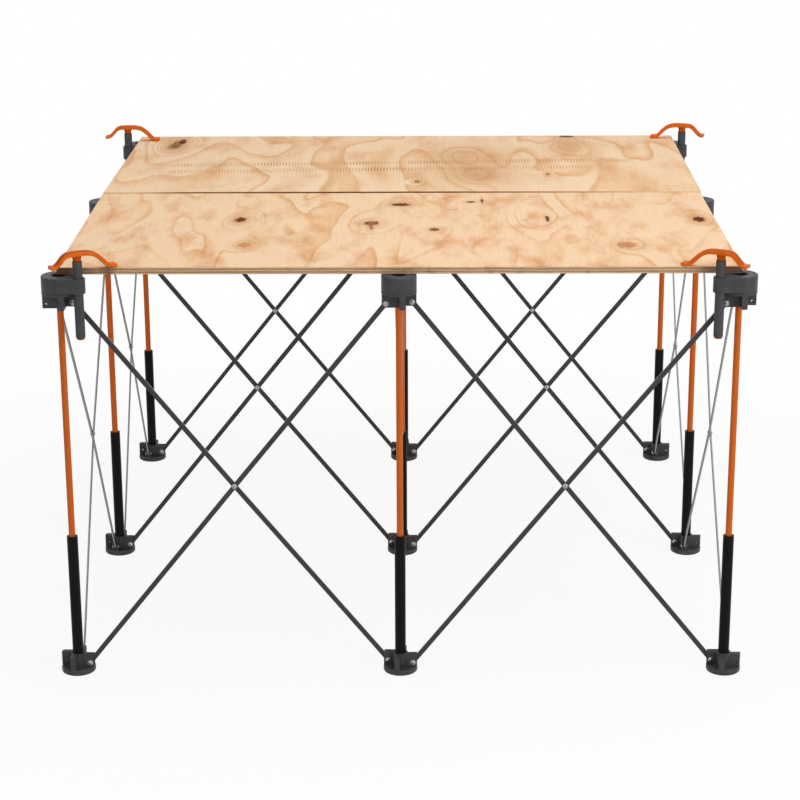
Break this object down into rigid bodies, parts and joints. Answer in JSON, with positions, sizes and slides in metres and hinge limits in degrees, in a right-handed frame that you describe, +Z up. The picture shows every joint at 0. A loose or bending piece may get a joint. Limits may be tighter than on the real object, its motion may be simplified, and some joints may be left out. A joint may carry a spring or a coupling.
{
  "type": "collapsible work support",
  "caption": "Folding bench support of telescoping legs joined by scissoring flat bars, with plywood panels laid on its heads and bow-handled clamps at the corners.",
  "frame": {"origin": "on the floor under the axis of the centre leg", "axes": "+X to the right along the front, +Y from the front row of legs to the rear row, +Z up"},
  "size_m": [1.3576, 1.2888, 0.8109],
  "materials": {
    "dark_steel": "satin",
    "black_leg": "satin",
    "centre_leg_top": "matte",
    "grey_nylon": "matte",
    "orange_tube": "satin",
    "plywood": "raw",
    "grey_rubber": "matte",
    "orange_cast": "satin"
  },
  "bodies": {
    "leg_base_front_left": {"lower_leg_front_left": "black_leg"},
    "leg_top_front_left": {"head_front_left": "grey_nylon", "upper_tube_front_left": "orange_tube"},
    "leg_base_front_centre": {"lower_leg_front_centre": "black_leg"},
    "leg_top_front_centre": {"head_front_centre": "grey_nylon", "upper_tube_front_centre": "orange_tube"},
    "leg_base_front_right": {"lower_leg_front_right": "black_leg"},
    "leg_top_front_right": {"head_front_right": "grey_nylon", "upper_tube_front_right": "orange_tube"},
    "leg_base_middle_left": {"lower_leg_middle_left": "black_leg"},
    "leg_top_middle_left": {"head_middle_left": "grey_nylon", "upper_tube_middle_left": "orange_tube"},
    "leg_base_middle_centre": {"lower_leg_middle_centre": "black_leg"},
    "leg_top_middle_centre": {"leg_top_middle_centre": "centre_leg_top"},
    "leg_base_middle_right": {"lower_leg_middle_right": "black_leg"},
    "leg_top_middle_right": {"head_middle_right": "grey_nylon", "upper_tube_middle_right": "orange_tube"},
    "leg_base_rear_left": {"lower_leg_rear_left": "black_leg"},
    "leg_top_rear_left": {"head_rear_left": "grey_nylon", "upper_tube_rear_left": "orange_tube"},
    "leg_base_rear_centre": {"lower_leg_rear_centre": "black_leg"},
    "leg_top_rear_centre": {"head_rear_centre": "grey_nylon", "upper_tube_rear_centre": "orange_tube"},
    "leg_base_rear_right": {"lower_leg_rear_right": "black_leg"},
    "leg_top_rear_right": {"head_rear_right": "grey_nylon", "upper_tube_rear_right": "orange_tube"},
    "bar_middle_right_rising": {"bar_middle_right_rising": "dark_steel"},
    "bar_middle_right_falling": {"bar_middle_right_falling": "dark_steel"},
    "bar_middle_left_falling": {"bar_middle_left_falling": "dark_steel"},
    "bar_middle_left_rising": {"bar_middle_left_rising": "dark_steel"},
    "bar_centre_rear_rising": {"bar_centre_rear_rising": "dark_steel"},
    "bar_centre_rear_falling": {"bar_centre_rear_falling": "dark_steel"},
    "bar_centre_front_falling": {"bar_centre_front_falling": "dark_steel"},
    "bar_centre_front_rising": {"bar_centre_front_rising": "dark_steel"},
    "bar_left_front_falling": {"bar_left_front_falling": "dark_steel"},
    "bar_left_front_rising": {"bar_left_front_rising": "dark_steel"},
    "bar_left_rear_rising": {"bar_left_rear_rising": "dark_steel"},
    "bar_left_rear_falling": {"bar_left_rear_falling": "dark_steel"},
    "bar_right_front_falling": {"bar_right_front_falling": "dark_steel"},
    "bar_right_front_rising": {"bar_right_front_rising": "dark_steel"},
    "bar_right_rear_rising": {"bar_right_rear_rising": "dark_steel"},
    "bar_right_rear_falling": {"bar_right_rear_falling": "dark_steel"},
    "bar_front_left_falling": {"bar_front_left_falling": "dark_steel"},
    "bar_front_left_rising": {"bar_front_left_rising": "dark_steel"},
    "bar_front_right_rising": {"bar_front_right_rising": "dark_steel"},
    "bar_front_right_falling": {"bar_front_right_falling": "dark_steel"},
    "bar_rear_left_falling": {"bar_rear_left_falling": "dark_steel"},
    "bar_rear_left_rising": {"bar_rear_left_rising": "dark_steel"},
    "bar_rear_right_rising": {"bar_rear_right_rising": "dark_steel"},
    "bar_rear_right_falling": {"bar_rear_right_falling": "dark_steel"},
    "top": {"plywood_panels": "plywood", "clamp_collars": "grey_nylon"},
    "stem_front_left": {"clamp_stem_front_left": "grey_rubber"},
    "bow_front_left": {"clamp_bow_front_left": "orange_cast"},
    "stem_front_right": {"clamp_stem_front_right": "grey_rubber"},
    "bow_front_right": {"clamp_bow_front_right": "orange_cast"},
    "stem_rear_left": {"clamp_stem_rear_left": "grey_rubber"},
    "bow_rear_left": {"clamp_bow_rear_left": "orange_cast"},
    "stem_rear_right": {"clamp_stem_rear_right": "grey_rubber"},
    "bow_rear_right": {"clamp_bow_rear_right": "orange_cast"}
  },
  "joints": [
    {"name": "fold", "type": "hinge", "parent": "leg_base_middle_centre", "child": "bar_middle_right_rising", "pos_m": [0.0234, -0.0062, 0.019], "axis": [0, -1, 0], "range_deg": [0, 37.4]},
    {"name": "middle_right_crossing", "type": "hinge", "parent": "bar_middle_right_rising", "child": "bar_middle_right_falling", "pos_m": [0.301, 0, 0.365], "axis": [0, 1, 0], "range_deg": [0, 74.8]},
    {"name": "middle_right_head_hinge", "type": "hinge", "parent": "bar_middle_right_rising", "child": "leg_top_middle_right", "pos_m": [0.5786, -0.0062, 0.711], "axis": [0, 1, 0], "range_deg": [0, 37.4]},
    {"name": "middle_right_foot_hinge", "type": "hinge", "parent": "bar_middle_right_falling", "child": "leg_base_middle_right", "pos_m": [0.5786, 0.0062, 0.019], "axis": [0, -1, 0], "range_deg": [0, 37.4]},
    {"name": "middle_centre_head_hinge", "type": "hinge", "parent": "bar_middle_right_falling", "child": "leg_top_middle_centre", "pos_m": [0.0234, 0.0062, 0.711], "axis": [0, -1, 0], "range_deg": [0, 37.4]},
    {"name": "middle_left_bar_hinge", "type": "hinge", "parent": "leg_base_middle_centre", "child": "bar_middle_left_falling", "pos_m": [-0.0234, 0.0062, 0.019], "axis": [0, 1, 0], "range_deg": [0, 37.4]},
    {"name": "middle_left_crossing", "type": "hinge", "parent": "bar_middle_left_falling", "child": "bar_middle_left_rising", "pos_m": [-0.301, 0, 0.365], "axis": [0, -1, 0], "range_deg": [0, 74.8]},
    {"name": "middle_left_head_hinge", "type": "hinge", "parent": "bar_middle_left_falling", "child": "leg_top_middle_left", "pos_m": [-0.5786, 0.0062, 0.711], "axis": [0, -1, 0], "range_deg": [0, 37.4]},
    {"name": "middle_left_foot_hinge", "type": "hinge", "parent": "bar_middle_left_rising", "child": "leg_base_middle_left", "pos_m": [-0.5786, -0.0062, 0.019], "axis": [0, 1, 0], "range_deg": [0, 37.4]},
    {"name": "centre_rear_bar_hinge", "type": "hinge", "parent": "leg_base_middle_centre", "child": "bar_centre_rear_rising", "pos_m": [0.0062, 0.0234, 0.019], "axis": [1, 0, 0], "range_deg": [0, 37.4]},
    {"name": "centre_rear_crossing", "type": "hinge", "parent": "bar_centre_rear_rising", "child": "bar_centre_rear_falling", "pos_m": [0, 0.301, 0.365], "axis": [-1, 0, 0], "range_deg": [0, 74.8]},
    {"name": "rear_centre_head_hinge", "type": "hinge", "parent": "bar_centre_rear_rising", "child": "leg_top_rear_centre", "pos_m": [0.0062, 0.5786, 0.711], "axis": [-1, 0, 0], "range_deg": [0, 37.4]},
    {"name": "rear_centre_foot_hinge", "type": "hinge", "parent": "bar_centre_rear_falling", "child": "leg_base_rear_centre", "pos_m": [-0.0062, 0.5786, 0.019], "axis": [1, 0, 0], "range_deg": [0, 37.4]},
    {"name": "centre_front_bar_hinge", "type": "hinge", "parent": "leg_base_middle_centre", "child": "bar_centre_front_falling", "pos_m": [-0.0062, -0.0234, 0.019], "axis": [-1, 0, 0], "range_deg": [0, 37.4]},
    {"name": "centre_front_crossing", "type": "hinge", "parent": "bar_centre_front_falling", "child": "bar_centre_front_rising", "pos_m": [0, -0.301, 0.365], "axis": [1, 0, 0], "range_deg": [0, 74.8]},
    {"name": "front_centre_head_hinge", "type": "hinge", "parent": "bar_centre_front_falling", "child": "leg_top_front_centre", "pos_m": [-0.0062, -0.5786, 0.711], "axis": [1, 0, 0], "range_deg": [0, 37.4]},
    {"name": "front_centre_foot_hinge", "type": "hinge", "parent": "bar_centre_front_rising", "child": "leg_base_front_centre", "pos_m": [0.0062, -0.5786, 0.019], "axis": [-1, 0, 0], "range_deg": [0, 37.4]},
    {"name": "left_front_bar_hinge", "type": "hinge", "parent": "leg_base_middle_left", "child": "bar_left_front_falling", "pos_m": [-0.6082, -0.0234, 0.019], "axis": [-1, 0, 0], "range_deg": [0, 37.4]},
    {"name": "left_front_crossing", "type": "hinge", "parent": "bar_left_front_falling", "child": "bar_left_front_rising", "pos_m": [-0.602, -0.301, 0.365], "axis": [1, 0, 0], "range_deg": [0, 74.8]},
    {"name": "front_left_head_hinge", "type": "hinge", "parent": "bar_left_front_falling", "child": "leg_top_front_left", "pos_m": [-0.6082, -0.5786, 0.711], "axis": [1, 0, 0], "range_deg": [0, 37.4]},
    {"name": "front_left_foot_hinge", "type": "hinge", "parent": "bar_left_front_rising", "child": "leg_base_front_left", "pos_m": [-0.5958, -0.5786, 0.019], "axis": [-1, 0, 0], "range_deg": [0, 37.4]},
    {"name": "left_rear_bar_hinge", "type": "hinge", "parent": "leg_base_middle_left", "child": "bar_left_rear_rising", "pos_m": [-0.5958, 0.0234, 0.019], "axis": [1, 0, 0], "range_deg": [0, 37.4]},
    {"name": "left_rear_crossing", "type": "hinge", "parent": "bar_left_rear_rising", "child": "bar_left_rear_falling", "pos_m": [-0.602, 0.301, 0.365], "axis": [-1, 0, 0], "range_deg": [0, 74.8]},
    {"name": "rear_left_head_hinge", "type": "hinge", "parent": "bar_left_rear_rising", "child": "leg_top_rear_left", "pos_m": [-0.5958, 0.5786, 0.711], "axis": [-1, 0, 0], "range_deg": [0, 37.4]},
    {"name": "rear_left_foot_hinge", "type": "hinge", "parent": "bar_left_rear_falling", "child": "leg_base_rear_left", "pos_m": [-0.6082, 0.5786, 0.019], "axis": [1, 0, 0], "range_deg": [0, 37.4]},
    {"name": "right_front_bar_hinge", "type": "hinge", "parent": "leg_base_middle_right", "child": "bar_right_front_falling", "pos_m": [0.5958, -0.0234, 0.019], "axis": [-1, 0, 0], "range_deg": [0, 37.4]},
    {"name": "right_front_crossing", "type": "hinge", "parent": "bar_right_front_falling", "child": "bar_right_front_rising", "pos_m": [0.602, -0.301, 0.365], "axis": [1, 0, 0], "range_deg": [0, 74.8]},
    {"name": "front_right_head_hinge", "type": "hinge", "parent": "bar_right_front_falling", "child": "leg_top_front_right", "pos_m": [0.5958, -0.5786, 0.711], "axis": [1, 0, 0], "range_deg": [0, 37.4]},
    {"name": "front_right_foot_hinge", "type": "hinge", "parent": "bar_right_front_rising", "child": "leg_base_front_right", "pos_m": [0.6082, -0.5786, 0.019], "axis": [-1, 0, 0], "range_deg": [0, 37.4]},
    {"name": "right_rear_bar_hinge", "type": "hinge", "parent": "leg_base_middle_right", "child": "bar_right_rear_rising", "pos_m": [0.6082, 0.0234, 0.019], "axis": [1, 0, 0], "range_deg": [0, 37.4]},
    {"name": "right_rear_crossing", "type": "hinge", "parent": "bar_right_rear_rising", "child": "bar_right_rear_falling", "pos_m": [0.602, 0.301, 0.365], "axis": [-1, 0, 0], "range_deg": [0, 74.8]},
    {"name": "rear_right_head_hinge", "type": "hinge", "parent": "bar_right_rear_rising", "child": "leg_top_rear_right", "pos_m": [0.6082, 0.5786, 0.711], "axis": [-1, 0, 0], "range_deg": [0, 37.4]},
    {"name": "rear_right_foot_hinge", "type": "hinge", "parent": "bar_right_rear_falling", "child": "leg_base_rear_right", "pos_m": [0.5958, 0.5786, 0.019], "axis": [1, 0, 0], "range_deg": [0, 37.4]},
    {"name": "front_left_bar_hinge", "type": "hinge", "parent": "leg_base_front_centre", "child": "bar_front_left_falling", "pos_m": [-0.0234, -0.5958, 0.019], "axis": [0, 1, 0], "range_deg": [0, 37.4]},
    {"name": "front_left_crossing", "type": "hinge", "parent": "bar_front_left_falling", "child": "bar_front_left_rising", "pos_m": [-0.301, -0.602, 0.365], "axis": [0, -1, 0], "range_deg": [0, 74.8]},
    {"name": "front_right_bar_hinge", "type": "hinge", "parent": "leg_base_front_centre", "child": "bar_front_right_rising", "pos_m": [0.0234, -0.6082, 0.019], "axis": [0, -1, 0], "range_deg": [0, 37.4]},
    {"name": "front_right_crossing", "type": "hinge", "parent": "bar_front_right_rising", "child": "bar_front_right_falling", "pos_m": [0.301, -0.602, 0.365], "axis": [0, 1, 0], "range_deg": [0, 74.8]},
    {"name": "rear_left_bar_hinge", "type": "hinge", "parent": "leg_base_rear_centre", "child": "bar_rear_left_falling", "pos_m": [-0.0234, 0.6082, 0.019], "axis": [0, 1, 0], "range_deg": [0, 37.4]},
    {"name": "rear_left_crossing", "type": "hinge", "parent": "bar_rear_left_falling", "child": "bar_rear_left_rising", "pos_m": [-0.301, 0.602, 0.365], "axis": [0, -1, 0], "range_deg": [0, 74.8]},
    {"name": "rear_right_bar_hinge", "type": "hinge", "parent": "leg_base_rear_centre", "child": "bar_rear_right_rising", "pos_m": [0.0234, 0.5958, 0.019], "axis": [0, -1, 0], "range_deg": [0, 37.4]},
    {"name": "rear_right_crossing", "type": "hinge", "parent": "bar_rear_right_rising", "child": "bar_rear_right_falling", "pos_m": [0.301, 0.602, 0.365], "axis": [0, 1, 0], "range_deg": [0, 74.8]},
    {"name": "top_lift", "type": "slide", "parent": "leg_top_middle_centre", "child": "top", "axis": [0, 0, 1], "range_m": [0, 0.35]},
    {"name": "clamp_slide_front_left", "type": "slide", "parent": "top", "child": "stem_front_left", "axis": [0, 0, 1], "range_m": [0, 0.045]},
    {"name": "bow_swivel_front_left", "type": "hinge", "parent": "stem_front_left", "child": "bow_front_left", "pos_m": [-0.5645, -0.62365, 0.8], "axis": [0, 0, 1], "continuous": true},
    {"name": "clamp_slide_front_right", "type": "slide", "parent": "top", "child": "stem_front_right", "axis": [0, 0, 1], "range_m": [0, 0.045]},
    {"name": "bow_swivel_front_right", "type": "hinge", "parent": "stem_front_right", "child": "bow_front_right", "pos_m": [0.5645, -0.62365, 0.8], "axis": [0, 0, 1], "continuous": true},
    {"name": "clamp_slide_rear_left", "type": "slide", "parent": "top", "child": "stem_rear_left", "axis": [0, 0, 1], "range_m": [0, 0.045]},
    {"name": "bow_swivel_rear_left", "type": "hinge", "parent": "stem_rear_left", "child": "bow_rear_left", "pos_m": [-0.62365, 0.5645, 0.8], "axis": [0, 0, 1], "continuous": true},
    {"name": "clamp_slide_rear_right", "type": "slide", "parent": "top", "child": "stem_rear_right", "axis": [0, 0, 1], "range_m": [0, 0.045]},
    {"name": "bow_swivel_rear_right", "type": "hinge", "parent": "stem_rear_right", "child": "bow_rear_right", "pos_m": [0.63262, 0.57138, 0.8], "axis": [0, 0, 1], "continuous": true}
  ],
  "couplings": [
    {"joint": "middle_right_crossing", "follows": "fold", "ratio": 2},
    {"joint": "middle_right_head_hinge", "follows": "fold", "ratio": 1},
    {"joint": "middle_right_foot_hinge", "follows": "fold", "ratio": 1},
    {"joint": "middle_centre_head_hinge", "follows": "fold", "ratio": 1},
    {"joint": "middle_left_bar_hinge", "follows": "fold", "ratio": 1},
    {"joint": "middle_left_crossing", "follows": "fold", "ratio": 2},
    {"joint": "middle_left_head_hinge", "follows": "fold", "ratio": 1},
    {"joint": "middle_left_foot_hinge", "follows": "fold", "ratio": 1},
    {"joint": "centre_rear_bar_hinge", "follows": "fold", "ratio": 1},
    {"joint": "centre_rear_crossing", "follows": "fold", "ratio": 2},
    {"joint": "rear_centre_head_hinge", "follows": "fold", "ratio": 1},
    {"joint": "rear_centre_foot_hinge", "follows": "fold", "ratio": 1},
    {"joint": "centre_front_bar_hinge", "follows": "fold", "ratio": 1},
    {"joint": "centre_front_crossing", "follows": "fold", "ratio": 2},
    {"joint": "front_centre_head_hinge", "follows": "fold", "ratio": 1},
    {"joint": "front_centre_foot_hinge", "follows": "fold", "ratio": 1},
    {"joint": "left_front_bar_hinge", "follows": "fold", "ratio": 1},
    {"joint": "left_front_crossing", "follows": "fold", "ratio": 2},
    {"joint": "front_left_head_hinge", "follows": "fold", "ratio": 1},
    {"joint": "front_left_foot_hinge", "follows": "fold", "ratio": 1},
    {"joint": "left_rear_bar_hinge", "follows": "fold", "ratio": 1},
    {"joint": "left_rear_crossing", "follows": "fold", "ratio": 2},
    {"joint": "rear_left_head_hinge", "follows": "fold", "ratio": 1},
    {"joint": "rear_left_foot_hinge", "follows": "fold", "ratio": 1},
    {"joint": "right_front_bar_hinge", "follows": "fold", "ratio": 1},
    {"joint": "right_front_crossing", "follows": "fold", "ratio": 2},
    {"joint": "front_right_head_hinge", "follows": "fold", "ratio": 1},
    {"joint": "front_right_foot_hinge", "follows": "fold", "ratio": 1},
    {"joint": "right_rear_bar_hinge", "follows": "fold", "ratio": 1},
    {"joint": "right_rear_crossing", "follows": "fold", "ratio": 2},
    {"joint": "rear_right_head_hinge", "follows": "fold", "ratio": 1},
    {"joint": "rear_right_foot_hinge", "follows": "fold", "ratio": 1},
    {"joint": "front_left_bar_hinge", "follows": "fold", "ratio": 1},
    {"joint": "front_left_crossing", "follows": "fold", "ratio": 2},
    {"joint": "front_right_bar_hinge", "follows": "fold", "ratio": 1},
    {"joint": "front_right_crossing", "follows": "fold", "ratio": 2},
    {"joint": "rear_left_bar_hinge", "follows": "fold", "ratio": 1},
    {"joint": "rear_left_crossing", "follows": "fold", "ratio": 2},
    {"joint": "rear_right_bar_hinge", "follows": "fold", "ratio": 1},
    {"joint": "rear_right_crossing", "follows": "fold", "ratio": 2}
  ]
}
